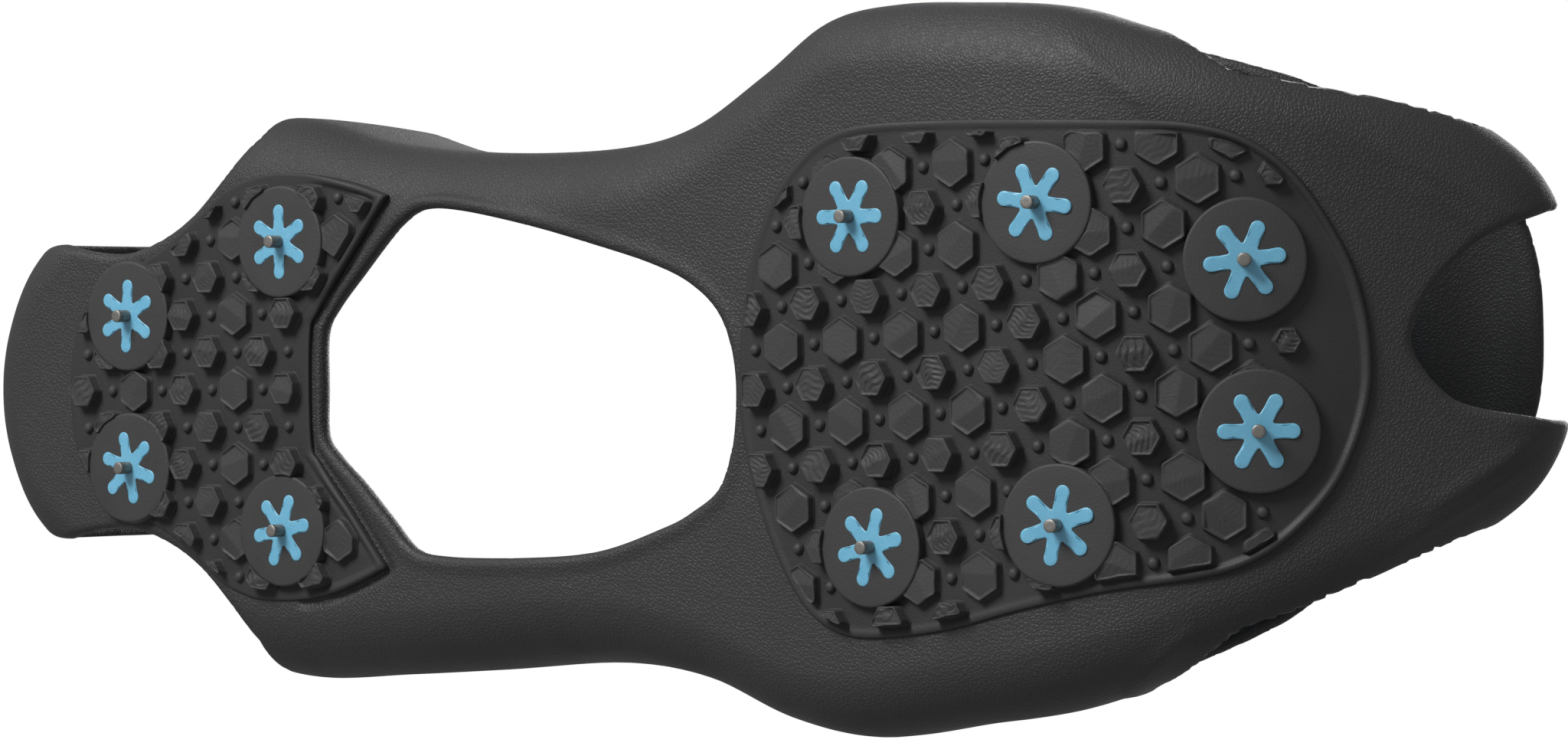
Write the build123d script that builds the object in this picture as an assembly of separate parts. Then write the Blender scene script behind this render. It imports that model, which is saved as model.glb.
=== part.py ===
from build123d import *
import math
import os

# Pull-on microspikes (ice cleats) for a left boot, in the shape they take when worn.
# One moulded rubber harness carries two tread pads. Each pad holds moulded star inserts, and each
# insert holds a steel pin. The harness is cut into named regions along flat planes, and the forefoot
# tread pad, which rolls up at the toe, is cut into three in the same way.
#
# Two sets of coordinates are used, in mm:
#   sole coordinates (u, v, h): u along the tread towards the toe, from the middle of the rear pair of
#   forefoot studs, v across it towards the outer side of the foot, h up from the studs' faces.
#   row coordinates (x, y, z): the same axes where the tread is flat, with the ground at z = 0 and the
#   origin in the middle of the footprint. Past the ball of the foot the tread rolls up.

# ---- driving dimensions ----
PIN_OUT = 2.9             # how far a pin stands out of its stud
CENTRE_U = -51.0          # middle of the whole length
CENTRE_V = -2.0           # middle of the whole width
ROLL_START = 20.6         # where the tread leaves the ground
ROLL_R = 91.0             # radius of the rolled-up tread, at the studs' faces
ROLL_END = 84.0           # from here the toe runs straight
ROLL_STEPS = 8            # flat steps that follow the roll where regions are parted

STUD_R = 10.0
PAD_FACE = 1.6            # height of the tread pads' face above the studs' faces
PAD_T = 2.0
PAD_BACK = PAD_FACE + PAD_T
RUBBER_FACE = 2.0
RUBBER_T = 3.0
INNER_FACE = RUBBER_FACE + RUBBER_T
WEB_TOP = 9.0             # where the tread regions end and the side regions begin

LUG_PITCH = 12.2
LUG_ROW = 13.35
HEEL_LUGS = {True: (3.3, 1.9), False: (3.3, 1.9)}    # radius and height, of a tall lug and of a wide one
FORE_LUGS = {True: (3.3, 2.4), False: (4.2, 1.4)}
LUG_MARGIN = 2.0          # lugs stop this far inside the pad's outline
HEEL_LUG_START = (-173.2, 0.0)
FORE_LUG_START = (2.4, -0.5)
FORE_LUG_SKEW = -4.0      # the forefoot's rows are turned by this angle

STAR_TIP_R = 6.6
STAR_ARM_W = 2.3
STAR_HUB_R = 2.7
FLANGE_R = 8.5
PIN_R = 1.1
PIN_HEAD_R = 2.6
PIN_HEAD_T = 1.0

EDGE_R = 14.0             # rounding from the tread up to the sides
HEEL_LEAN = 0.06          # how far the sides lean in above the widest height, per mm of height
FORE_LEAN = 0.17
FLEX_U = -45.0            # hinge line between the heel half and the forefoot half
FLEX_GAP = 4.6
STRAP_TOP = 24.0          # height of the waist straps' upper edge
TAB_W = 22.0
TAB_TOP = 71.0
TAB_DEPTH = 30.0
TAB_ROUND = 6.0
WAIST_CUT_TOP = 14.0      # how high each opening is cut
CORNER_CUT_TOP = 44.0
TOE_CUT_TOP = 26.0
MEDIAL_WINDOW_V = -30.0   # the toe windows are cut outwards from here
LATERAL_WINDOW_V = 16.0

# where the regions of the harness meet
BALL_END = (ROLL_START + ROLL_END) / 2 - 0.5
TOE_START = ROLL_END + 10
HEEL_STRAP_END = -170.0
HEEL_STRAP_HALF = 26.0
HEEL_RIM_END = -146.0
WAIST_START = -98.0
WAIST_END = -27.0
TOE_RIM_LOW = 25.0
TOE_BAND_LOW = 26.0
TOE_MIDDLE_V = -11.0

FAR = 300.0               # beyond the whole object
ABOVE = 99.0
BELOW = -10.0

# studs: (u, v, turn of the star in degrees)
HEEL_STUDS = [(-164.0, -13.5, 33), (-126.9, -26.0, 30), (-164.0, 13.9, 18), (-127.1, 25.0, -10)]
FORE_STUDS = [(-1.7, -27.0, 0), (34.3, -28.3, 8), (68.8, -18.5, -7),
              (70.7, 8.6, 0), (37.6, 23.3, -18), (1.7, 27.0, -14)]

# outlines as (u, v): the heel pad's long edge and its front edge meet at two corners
HEEL_PAD_EDGE = [(-103, -33.5), (-116, -37), (-130, -38.2), (-142, -35), (-156, -25.8), (-170, -20.5),
                 (-178.5, -10.5), (-180, 0), (-178.5, 10.5), (-170, 20.5), (-156, 25.8), (-143, 34.5),
                 (-130, 37.5), (-116, 36), (-104, 31.5)]
HEEL_PAD_FRONT = [(-104, 31.5), (-121, 11), (-121, -12), (-103, -33.5)]
FORE_PAD_EDGE = [(0, -42), (30, -41.8), (60, -40.5), (75, -34), (85, -20), (89, -3), (86, 12), (75, 26),
                 (60, 32), (30, 37), (0, 42), (-12, 38), (-21, 23), (-26, 0), (-24, -17), (-17, -34)]
WAIST_OPENING = [(-118.7, 9), (-118.7, -11), (-99, -30), (-87, -30.5), (-57.7, -24), (-36.6, -16.8),
                 (-28.5, -9), (-27, 2), (-29.5, 15), (-43, 23.8), (-57.7, 28.6), (-96.6, 29)]
TOE_OPENING = [(150, -27), (117, -25.5), (108, -22), (100, -15), (95.6, -6), (100, 2), (105, 5),
               (112, 7), (150, 7)]
HEEL_CORNER = [(-215, 26), (-168, 25.5), (-157, 28.5), (-143, 38.5), (-136, 45), (-136, 70), (-215, 70)]

# cross-sections of the worn harness: (u, medial half width, lateral half width, lowest h, top h)
SECTIONS = [
    (-202.5, 11, 11, 12.0, 74), (-199.5, 17, 17, 7.0, 75), (-193, 25, 25, 3.0, 75),
    (-182, 33, 33, RUBBER_FACE, 75), (-165, 40, 40, RUBBER_FACE, 74), (-145, 46, 47, RUBBER_FACE, 72),
    (-130, 48.3, 50.5, RUBBER_FACE, 70), (-110, 45, 50, RUBBER_FACE, 68),
    (-88, 41.5, 48.5, RUBBER_FACE, 66), (-60, 40, 47, RUBBER_FACE, 64), (-40, 44, 49, RUBBER_FACE, 63),
    (-22, 54.5, 54.5, RUBBER_FACE, 62), (-5, 61, 57.8, RUBBER_FACE, 60), (15, 61.5, 56, RUBBER_FACE, 58),
    (35, 60, 53.5, RUBBER_FACE, 55), (55, 57, 48.5, RUBBER_FACE, 51), (75, 52.5, 42, RUBBER_FACE, 47),
    (92, 47, 35, RUBBER_FACE, 43), (104, 42.5, 28.5, 2.4, 40), (112, 37, 21.5, 4.5, 37),
    (117, 31, 15.5, 7.0, 35), (120, 25, 9, 11.0, 33),
]

# side views as (u, h): the harness's upper edge, and the window at each side of the toe
RIM_LINE = [(-215, 62), (-196, 60), (-178, 50), (-150, 45), (-122, 44), (-106, 40), (-94, STRAP_TOP),
            (-36, STRAP_TOP), (-24, 38), (-8, 46), (15, 47), (44, 42), (68, 38), (92, 36), (97, 36),
            (101, 60)]
TOE_WINDOW = [(66, 6.5), (84, 6.5), (100, 7.5), (109, 12), (110, 20), (104, 27), (84, 26), (64, 28),
              (50, 30), (47, 24), (54, 14)]


def on_sole(u, v, h, turn=0):
    """The place at sole coordinates (u, v, h), with its z axis square to the tread."""
    roll = min(max(u - ROLL_START, 0), ROLL_END - ROLL_START) / ROLL_R
    past = max(u - ROLL_END, 0)
    radius = ROLL_R - h
    x = min(u, ROLL_START) + radius * math.sin(roll) + past * math.cos(roll)
    z = ROLL_R - radius * math.cos(roll) + past * math.sin(roll)
    here = Location((x - CENTRE_U, v - CENTRE_V, z + PIN_OUT), (0, -math.degrees(roll), 0))
    return here * Location((0, 0, 0), (0, 0, turn))


def side_point(u, h):
    """A point of the long section through the row's origin."""
    place = on_sole(u, 0, h).position
    return (place.X, 0, place.Z)


def across_foot(edges, v_low=-FAR, v_high=FAR):
    """A prism across the foot, from a closed outline in the long section."""
    face = make_face(edges)
    return extrude(Pos(0, v_low - CENTRE_V, 0) * face, amount=v_high - v_low, dir=(0, 1, 0))


def block(u_low, u_high, h_low, h_high, v_low=-FAR, v_high=FAR):
    """The space between two heights above the tread, following the roll in flat steps."""
    step = (ROLL_END - ROLL_START) / ROLL_STEPS
    stations = [ROLL_START + i * step for i in range(ROLL_STEPS + 1)]
    inside = [u for u in stations if u_low < u < u_high]
    along = [u_low] + inside + [u_high]
    points = [side_point(u, h_low) for u in along] + [side_point(u, h_high) for u in reversed(along)]
    return across_foot(Polyline(*points, close=True), v_low, v_high)


def tread_line(u_low, u_high, h):
    """The edges of a line at one height above the tread: flat, then rolled, then straight."""
    edges = []
    if u_low < ROLL_START:
        edges.append(Line(side_point(u_low, h), side_point(min(u_high, ROLL_START), h)))
    if u_high > ROLL_START:
        end = min(u_high, ROLL_END)
        middle = (ROLL_START + end) / 2
        edges.append(ThreePointArc(side_point(ROLL_START, h), side_point(middle, h), side_point(end, h)))
    if u_high > ROLL_END:
        edges.append(Line(side_point(ROLL_END, h), side_point(u_high, h)))
    return edges


def tread_layer(u_low, u_high, h_low, h_high):
    """A layer of even thickness that follows the tread exactly."""
    low = tread_line(u_low, u_high, h_low)
    high = tread_line(u_low, u_high, h_high)
    ends = [Line(side_point(u, h_low), side_point(u, h_high)) for u in (u_low, u_high)]
    return across_foot(low + high + ends)


def plan_points(points, h=PAD_FACE):
    """Row x and y of sole coordinates at height h."""
    places = [on_sole(u, v, h).position for u, v in points]
    return [(place.X, place.Y) for place in places]


def plan_prism(edges, z_low, z_high):
    """A vertical prism from a closed outline in the row's x-y plane."""
    return extrude(Pos(0, 0, z_low) * make_face(edges), amount=z_high - z_low, dir=(0, 0, 1))


def smooth_loop(points):
    return [Spline(*points, periodic=True)]


def loop_with_front(edge, front):
    """A smooth edge closed by a straight front with a rounded middle."""
    return [Spline(*edge), Spline(*front, tangents=[(-0.64, -0.77), (0.64, -0.77)])]


def mirrored(points):
    return [(u, -v) for u, v in points]


def section_wire(u, medial, lateral, low, top, inset):
    """One closed cross-section, its sides leaning in above the widest height."""
    height = top - low
    corner = EDGE_R - 0.5 * inset
    lean = height * (HEEL_LEAN if u < FLEX_U else FORE_LEAN)
    sides = []
    for side, width in ((-1, medial), (1, lateral)):
        half = width - inset
        foot = half - min(corner, 0.7 * half)
        outline = [
            (foot, low + inset),
            (half - 0.27 * (half - foot), low + inset + 0.3 * corner),
            (half, low + inset + min(EDGE_R + 3, 0.36 * height)),
            (half - 0.3 * lean, low + 0.68 * height),
            (max(half - lean, 0.35 * half), top - inset),
        ]
        sides.append([on_sole(u, side * v, h).position for v, h in outline])
    left, right = sides
    return Wire([Line(left[0], right[0]), Spline(*right), Line(right[-1], left[-1]), Spline(*left[::-1])])


def boot_shape(inset):
    """The boot-shaped solid under the harness's surface, moved in by inset all round."""
    back = SECTIONS[0][0]
    front = SECTIONS[-1][0]
    middle = (back + front) / 2
    shrink = 1 - 2 * inset / (front - back)
    wires = []
    for u, medial, lateral, low, top in SECTIONS:
        wires.append(section_wire(middle + (u - middle) * shrink, medial, lateral, low, top, inset))
    return Solid.make_loft(wires, ruled=False)


# ---- studs ----
def star_sketch():
    arms = [Rot(0, 0, 60 * i) * SlotOverall(2 * STAR_TIP_R, STAR_ARM_W) for i in range(3)]
    return Sketch() + arms + Circle(STAR_HUB_R)


def pin_solid():
    shank = extrude(Pos(0, 0, -PIN_OUT) * Circle(PIN_R), PIN_OUT + INNER_FACE - PIN_HEAD_T)
    head = extrude(Pos(0, 0, INNER_FACE - PIN_HEAD_T) * Circle(PIN_HEAD_R), PIN_HEAD_T)
    return shank + head


def insert_blank():
    """The star with its flange on the foot's side, before the pin's hole."""
    star = extrude(star_sketch(), PAD_BACK)
    flange = extrude(Pos(0, 0, PAD_BACK) * Circle(FLANGE_R), INNER_FACE - PAD_BACK)
    return star + flange


# ---- tread pads ----
def lug_places(start, skew, rows, columns):
    """Every lug of a staggered field, as (u, v, whether it is one of the tall ones)."""
    turn = math.radians(skew)
    places = []
    for row in range(-rows, rows + 1):
        for column in range(-columns, columns + 1):
            for offset, tall in ((0.0, True), (0.5, False)):
                along = (column + offset) * LUG_PITCH
                across = (row + offset) * LUG_ROW
                u = start[0] + along * math.cos(turn) - across * math.sin(turn)
                v = start[1] + along * math.sin(turn) + across * math.cos(turn)
                places.append((u, v, tall))
    return places


def lug_field(points):
    """The straight-sided area of a pad that its lugs keep to."""
    return offset(make_face(Polyline(*points, close=True)), -LUG_MARGIN, kind=Kind.INTERSECTION)


def lug_solid(u, v, radius, height, field):
    """A hexagonal lug, cut off where it would leave the pad's field."""
    outline = RegularPolygon(radius, 6, rotation=30) & (Pos(-u, -v, 0) * field)
    if outline is None or outline.area < 4:
        return None
    return on_sole(u, v, PAD_FACE - height) * extrude(outline, height + 0.5 * PAD_T)


def pad_solid(edges, layer, field, studs, places, lug_sizes):
    pad = plan_prism(edges, BELOW, FAR) & layer
    for u, v, turn in studs:
        pad += on_sole(u, v, 0) * extrude(Circle(STUD_R), PAD_BACK - 0.5 * PAD_T)
    lugs = []
    for u, v, tall in places:
        clear = all(math.dist((u, v), stud[:2]) > STUD_R for stud in studs)
        lug = lug_solid(u, v, *lug_sizes[tall], field) if clear else None
        if lug is not None:
            lugs.append(lug)
    return pad + lugs


# ---- harness ----
def harness_solid(pads, blanks):
    """The whole moulding: a 3 mm shell of the worn shape, opened and cut for the pads and inserts."""
    shell = boot_shape(0) - boot_shape(RUBBER_T)
    rim = [side_point(u, h) for u, h in RIM_LINE]
    rim += [(rim[-1][0], 0, FAR), (-FAR, 0, FAR), (-FAR, 0, rim[0][2])]
    above_rim = across_foot(Polyline(*rim, close=True))
    tab = on_sole(SECTIONS[0][0], 0, 0) * Pos(0, 0, TAB_TOP / 2) * Box(TAB_DEPTH, TAB_W, TAB_TOP)
    shell -= above_rim - fillet(tab.edges().filter_by(Axis.X), TAB_ROUND)
    shell -= plan_prism(smooth_loop(plan_points(WAIST_OPENING)), BELOW, WAIST_CUT_TOP)
    toe_u = TOE_OPENING[2][0]
    toe_cut = make_face(Polyline(*[(u - toe_u, v) for u, v in TOE_OPENING], close=True))
    shell -= on_sole(toe_u, 0, BELOW) * extrude(toe_cut, TOE_CUT_TOP - BELOW)
    for corner in (HEEL_CORNER, mirrored(HEEL_CORNER)):
        shell -= plan_prism(Polyline(*plan_points(corner), close=True), BELOW, CORNER_CUT_TOP)
    window = Polyline(*[side_point(u, h) for u, h in TOE_WINDOW], close=True)
    shell -= across_foot(window, -FAR, MEDIAL_WINDOW_V)
    shell -= across_foot(window, LATERAL_WINDOW_V, FAR)
    shell -= block(FLEX_U - FLEX_GAP / 2, FLEX_U + FLEX_GAP / 2, BELOW, ABOVE)
    for piece in pads + blanks:
        shell -= piece
    return shell


def harness_regions():
    """Region names and the spaces that part them, in the order they are taken."""
    medial, lateral = (-FAR, 0), (0, FAR)
    regions = [
        ("heel_strap", block(-FAR, HEEL_STRAP_END, BELOW, ABOVE, -HEEL_STRAP_HALF, HEEL_STRAP_HALF)),
        ("heel_web", block(HEEL_STRAP_END, WAIST_START, BELOW, WEB_TOP)),
        ("forefoot_web", block(WAIST_END, ROLL_START, BELOW, WEB_TOP)),
        ("ball_web", block(ROLL_START, BALL_END, BELOW, WEB_TOP)),
        ("toe_web", block(BALL_END, TOE_START, BELOW, WEB_TOP)),
        ("medial_toe_arm", block(TOE_START, FAR, BELOW, TOE_BAND_LOW, -FAR, TOE_MIDDLE_V)),
        ("lateral_toe_arm", block(TOE_START, FAR, BELOW, TOE_BAND_LOW, TOE_MIDDLE_V, FAR)),
        ("over_toe_band", block(TOE_START, FAR, TOE_BAND_LOW, ABOVE)),
    ]
    for side, across in (("medial", medial), ("lateral", lateral)):
        regions += [
            (side + "_heel_rim", block(-FAR, HEEL_RIM_END, BELOW, ABOVE, *across)),
            (side + "_heel_side", block(HEEL_RIM_END, WAIST_START, BELOW, ABOVE, *across)),
            (side + "_waist_strap_rear", block(WAIST_START, FLEX_U, BELOW, ABOVE, *across)),
            (side + "_waist_strap_front", block(FLEX_U, WAIST_END, BELOW, ABOVE, *across)),
            (side + "_toe_rim", block(BALL_END, TOE_START, TOE_RIM_LOW, ABOVE, *across)),
            (side + "_ball_flap", block(WAIST_END, TOE_START, BELOW, ABOVE, *across)),
        ]
    return regions


def pad_regions():
    """The three regions of the forefoot pad."""
    return [
        ("forefoot_pad", block(-FAR, ROLL_START, BELOW, ABOVE)),
        ("ball_pad", block(ROLL_START, BALL_END, BELOW, ABOVE)),
        ("toe_pad", block(BALL_END, TOE_START, BELOW, ABOVE)),
    ]


# ---- assembly ----
heel_edges = loop_with_front(plan_points(HEEL_PAD_EDGE), plan_points(HEEL_PAD_FRONT))
fore_edges = smooth_loop(plan_points(FORE_PAD_EDGE))
pads = {
    "heel": pad_solid(
        heel_edges, tread_layer(-190, -90, PAD_FACE, PAD_BACK),
        lug_field(HEEL_PAD_EDGE + HEEL_PAD_FRONT[1:-1]),
        HEEL_STUDS, lug_places(HEEL_LUG_START, 0, 3, 5), HEEL_LUGS),
    "forefoot": pad_solid(
        fore_edges, tread_layer(-35, 95, PAD_FACE, PAD_BACK), lug_field(FORE_PAD_EDGE),
        FORE_STUDS, lug_places(FORE_LUG_START, FORE_LUG_SKEW, 4, 8), FORE_LUGS),
}

nodes = {}
blanks = []
for part, studs in (("heel", HEEL_STUDS), ("forefoot", FORE_STUDS)):
    for number, (u, v, turn) in enumerate(studs, start=1):
        place = on_sole(u, v, 0, turn)
        blank = place * insert_blank()
        pin = place * pin_solid()
        blanks.append(blank)
        pads[part] -= blank
        nodes[f"{part}_star_{number}"] = blank - pin
        nodes[f"{part}_pin_{number}"] = pin

nodes["heel_pad"] = pads["heel"]
for name, space in pad_regions():
    nodes[name] = pads["forefoot"] & space

remaining = harness_solid(list(pads.values()), blanks)
for name, space in harness_regions():
    nodes[name] = remaining & space
    remaining -= space

os.makedirs("parts", exist_ok=True)
for name, solid in nodes.items():
    solid.label = name
    export_step(solid, f"parts/{name}.step")
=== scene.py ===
import math

import bpy
import numpy as np
from mathutils import Matrix, Vector


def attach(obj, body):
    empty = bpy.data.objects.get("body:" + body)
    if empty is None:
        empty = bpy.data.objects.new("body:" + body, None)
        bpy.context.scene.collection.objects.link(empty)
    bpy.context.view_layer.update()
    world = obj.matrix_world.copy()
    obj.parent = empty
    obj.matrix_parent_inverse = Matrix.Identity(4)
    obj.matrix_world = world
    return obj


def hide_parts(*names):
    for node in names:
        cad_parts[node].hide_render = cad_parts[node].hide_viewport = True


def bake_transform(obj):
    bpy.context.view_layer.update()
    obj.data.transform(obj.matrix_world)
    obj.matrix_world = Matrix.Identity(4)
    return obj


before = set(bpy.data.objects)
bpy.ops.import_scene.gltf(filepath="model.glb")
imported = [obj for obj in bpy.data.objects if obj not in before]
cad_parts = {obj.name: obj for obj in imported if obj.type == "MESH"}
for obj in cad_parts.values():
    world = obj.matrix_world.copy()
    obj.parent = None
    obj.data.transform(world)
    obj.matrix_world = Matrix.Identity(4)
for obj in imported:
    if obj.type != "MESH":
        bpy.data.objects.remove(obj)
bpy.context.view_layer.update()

# Sizes are in mm until a mesh is made, and every mesh is made in metres in the row frame.
# Sole coordinates are (u, v, h), as in the CAD: u along the tread towards the toe, v across it towards
# the outer side of the foot, h up from the studs' faces. Past ROLL_START the tread rolls up.
MM = 0.001
PIN_OUT = 2.9
CENTRE_U = -51.0
CENTRE_V = -2.0
ROLL_START = 20.6
ROLL_R = 91.0
ROLL_END = 84.0

# levels above the studs' faces
RUBBER_FACE = 2.0
RUBBER_T = 3.0
PAD_FACE = 1.6
PAD_BACK = 3.6
INNER_FACE = RUBBER_FACE + RUBBER_T
STRAP_TOP = 24.0
WAIST_CUT_TOP = 14.0      # how high each opening is cut
TOE_CUT_TOP = 27.0
HEEL_WINDOW_TOP = 39.5
WELL_TOP = 9.0            # of the hollows that take the inserts' flanges
RIDGE_TOP = 30.0          # no ridges above this

# the harness
HEEL_TOP = 80.0           # height of the worn shape's upper side at the heel, and its fall to the toe
TOE_FALL = 44.0
CROWN = 0.004             # how the upper side falls away from CROWN_MIDDLE
CROWN_MIDDLE = -8.0
HEEL_LEAN = 4.5           # how far the sides lean in, LEAN_SPAN above LEAN_START
FORE_LEAN = 13.0
LEAN_START = 17.0
LEAN_SPAN = 53.0
UPPER_ROUND = 14.0        # rounding from the sides to the upper side, and to the tread
SIDE_ROUND = 13.0
FORE_ROUND_CUT = 1.5
BACK_ROUND_CUT = 3.5
TAB_HALF = 11.0
TAB_TOP = 71.0
TAB_ROUND = 6.0
TAB_FRONT = -188.0
MEDIAL_WINDOW_V = -28.0   # the toe windows are cut outwards from here
LATERAL_WINDOW_V = 14.0
BEAD_R = 1.2              # bead round the waist opening, its middle this far inside the rubber
BEAD_IN = 1.15
BEAD_UP = 0.75
GROOVE_R = 0.85           # groove along the front edge of the heel pad
GROOVE_OUT = 0.5
GROOVE_DROP = 0.1
GROOVE_START = -125.0
CUT_ROUND = 1.3           # rounding of the harness's cut edges
GRID = 1.04               # spacing of the harness's mesh
MAP_GRID = 0.6            # spacing of the flat distance maps
PAD_MAP_GRID = 0.35

# tread pads: a lug's kind is its radius, its height and the depth of the ribs on its top
LUG_PITCH = 12.2
LUG_ROW = 13.35
LUG_MARGIN = 1.9          # lugs stop this far inside the pad's outline
HEEL_LUG_START = (-175.2, 0.0)
FORE_LUG_START = (2.4, -0.5)
FORE_LUG_SKEW = -4.0      # the forefoot's rows are turned by this angle
HEEL_WIDE_LUG = (4.0, 1.35, 0.04)
HEEL_SMALL_LUG = (3.3, 2.1, 0.2)
FORE_WIDE_LUG = (4.2, 1.4, 0.05)
FORE_SMALL_LUG = (3.4, 2.4, 0.22)
WIDE_R = 3.5              # lugs larger than this have a corner at each side of the foot
LUG_LEAST_AREA = 3.0
LUG_LEAST_ROOM = 0.4
LUGS_SHRINK = 72.0        # lugs past here are smaller, and past LUGS_END there are none
LUGS_END = 76.5
RIB_PITCH = 1.1           # of the curved ribs on top of the lugs
DOT_R = 0.9
DOT_CLEAR = 0.9           # least distance from a dot's middle to a stud
DOT_MARGIN = 2.6
LUG_SLOT = 1              # second material slot of a tread pad, after its plate's

# (how far in from the outline, h, how much the raised edge adds to h)
PLATE_EDGE = [(0.0, PAD_BACK, 0), (0.0, PAD_FACE + 0.3, 0), (0.1, PAD_FACE + 0.08, -0.25),
              (0.3, PAD_FACE, -0.45), (0.7, PAD_FACE, -0.55), (1.1, PAD_FACE, -0.45), (1.4, PAD_FACE, -0.1),
              (1.7, PAD_FACE, 0.1), (2.1, PAD_FACE, 0.12)]

# studs, inserts and pins
STUD_R = 10.0
FLANGE_R = 8.5
FLANGE_GAP = 0.3
STAR_TIP_R = 6.6
STAR_ARM_W = 2.45
STAR_HUB_R = 2.75
PIN_R = 1.1
PIN_HEAD_R = 2.6
PIN_HEAD_T = 1.0

# (radius, h) of a stud's disc, from its foot in the plate to its face
STUD_PROFILE = [(STUD_R - 1.0, PAD_FACE + 0.6), (STUD_R + 0.2, PAD_FACE + 0.3),
                (STUD_R + 0.02, PAD_FACE - 0.1), (STUD_R - 0.1, 0.35), (STUD_R - 0.16, 0.14),
                (STUD_R - 0.32, 0.02), (STUD_R - 0.6, 0.0), (6.9, 0.0), (5.0, 0.0), (3.0, 0.0)]

# studs: (u, v, turn of the star in degrees)
HEEL_STUDS = [(-164.0, -13.5, 33), (-126.9, -26.0, 30), (-164.0, 13.9, 18), (-127.1, 25.0, -10)]
FORE_STUDS = [(-1.7, -27.0, 0), (34.3, -28.3, 8), (68.8, -18.5, -7),
              (70.7, 8.6, 0), (37.6, 23.3, -18), (1.7, 27.0, -14)]

# (u, v) outline of the worn harness at its widest, from behind the heel along the medial side
BOOT_OUTLINE = [(-203, 0), (-201, -12), (-194.5, -24), (-182, -33.5), (-165, -41), (-150, -46.5),
                (-140, -48.6), (-128, -47.9), (-112, -43.6), (-88, -40.8), (-60, -40.6), (-42, -43.8),
                (-26, -52.2), (-13, -60.2), (0, -62.2), (15, -61.8), (35, -60.3), (52, -56.2), (75, -51),
                (92, -47.2), (104, -42.8), (114.5, -36), (120.3, -28.5), (123, -18.5), (123.6, -8),
                (123.2, 4), (120.6, 13), (115, 20.6), (105, 27.4), (92, 34.4), (75, 41.6), (55, 48.2),
                (35, 53.5), (15, 56.2), (-5, 58.9), (-22, 56.4), (-40, 50), (-60, 47.7), (-88, 49.5),
                (-110, 50.8), (-130, 51.7), (-145, 48.7), (-165, 40.5), (-182, 33), (-194.5, 24), (-201, 12)]
WAIST_OPENING = [(-118.9, 8), (-118.9, 0), (-118.7, -9.5), (-116, -14), (-110, -20), (-104, -25.8),
                 (-100, -29), (-95.5, -30.9), (-87, -30.5), (-72, -27.6), (-57.7, -24), (-45, -20.4),
                 (-36.6, -16.8), (-30.5, -11.5), (-27.6, -4), (-27.2, 4), (-28.2, 11), (-31, 17.5),
                 (-36.6, 21.4), (-43, 24.2), (-57.7, 28.4), (-76, 29.6), (-92, 29.4), (-98.5, 28),
                 (-104, 22.8), (-110, 17), (-116, 11.8)]
TOE_OPENING = [(119, -26), (108, -22), (100, -15), (96, -8), (96, -3.5), (100, 2), (105, 5), (119, 7.5)]
HEEL_CORNER = [(-183, 27), (-174, 25.3), (-166, 25), (-157, 27.5), (-149, 32), (-142, 38.5), (-137, 45)]
HEEL_PAD_EDGE = [(-103, -33.5), (-109, -35.4), (-116, -37), (-123, -38), (-130, -38.2), (-136, -37.3),
                 (-142, -35), (-149, -30.3), (-156, -25.8), (-163, -22.8), (-170, -20.5), (-175, -16.5),
                 (-178.5, -10.5), (-180, 0), (-178.5, 10.5), (-175, 16.5), (-170, 20.5), (-163, 22.8),
                 (-156, 25.8), (-149, 30.3), (-143, 34.5), (-136, 37), (-130, 37.5), (-123, 37.2),
                 (-116, 36), (-110, 34), (-104, 31.5)]
HEEL_PAD_FRONT = [(-112, 21.5), (-119.5, 13), (-121.5, 9), (-121.5, -9), (-119.5, -13.5), (-112, -22.5)]
FORE_PAD_EDGE = [(0, -42), (15, -42.2), (30, -41.8), (45, -41.3), (60, -40.5), (70, -37.5), (78, -31),
                 (85, -20), (88, -11), (89, -3), (88.5, 4), (86, 12), (82, 19), (75, 26), (68, 30), (60, 32),
                 (45, 34), (30, 37), (15, 40.5), (0, 42), (-8, 40.5), (-14, 36), (-19, 28), (-23, 18),
                 (-25.5, 8), (-26, 0), (-25.5, -9), (-23, -21), (-19, -30), (-14, -36), (-8, -40.2)]

# (u, h) side views: the upper edge, and the window at each side of the toe
RIM_LINE = [(-203, 61), (-190, 56), (-175, 49.5), (-160, 46), (-145, 45), (-124, 44), (-111, 41.5),
            (-102, 34), (-93, 26), (-84, STRAP_TOP), (-64, STRAP_TOP), (-44, STRAP_TOP), (-34, 26.5),
            (-26, 34), (-17, 42), (-5, 46), (15, 47), (44, 43), (68, 38.5), (86, 36.5), (96, 37.5),
            (99.5, 44), (101, 56)]
TOE_WINDOW = [(66, 6), (76, 6), (88, 6.3), (100, 7.5), (107, 10), (110, 15), (108, 22), (102, 26.5),
              (92, 27.5), (78, 27.5), (64, 29), (52, 31), (46.5, 27.5), (49, 20), (56, 12)]

# (u, v) to (u, v), half width and height of the low ridges on the rubber's outer side
RIDGES = [(40, 56, 62, 38, 1.3, 0.45), (36, -56, 58, -40, 1.3, 0.45),
          (92, -33, 119, -16, 1.2, 0.5), (88, -38, 118, -21, 1.2, 0.5),
          (94, 24, 119, 8, 1.2, 0.5), (88, 30, 117, 13, 1.2, 0.5)]


# ---- placing ----
def to_row(points):
    """Sole coordinates (n, 3) in mm to row coordinates in metres."""
    u, v, h = np.asarray(points, float).T
    roll = np.clip(u - ROLL_START, 0, ROLL_END - ROLL_START) / ROLL_R
    past = np.maximum(u - ROLL_END, 0)
    radius = ROLL_R - h
    x = np.minimum(u, ROLL_START) + radius * np.sin(roll) + past * np.cos(roll) - CENTRE_U
    z = ROLL_R - radius * np.cos(roll) + past * np.sin(roll) + PIN_OUT
    return np.stack([x, v - CENTRE_V, z], axis=1) * MM


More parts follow.
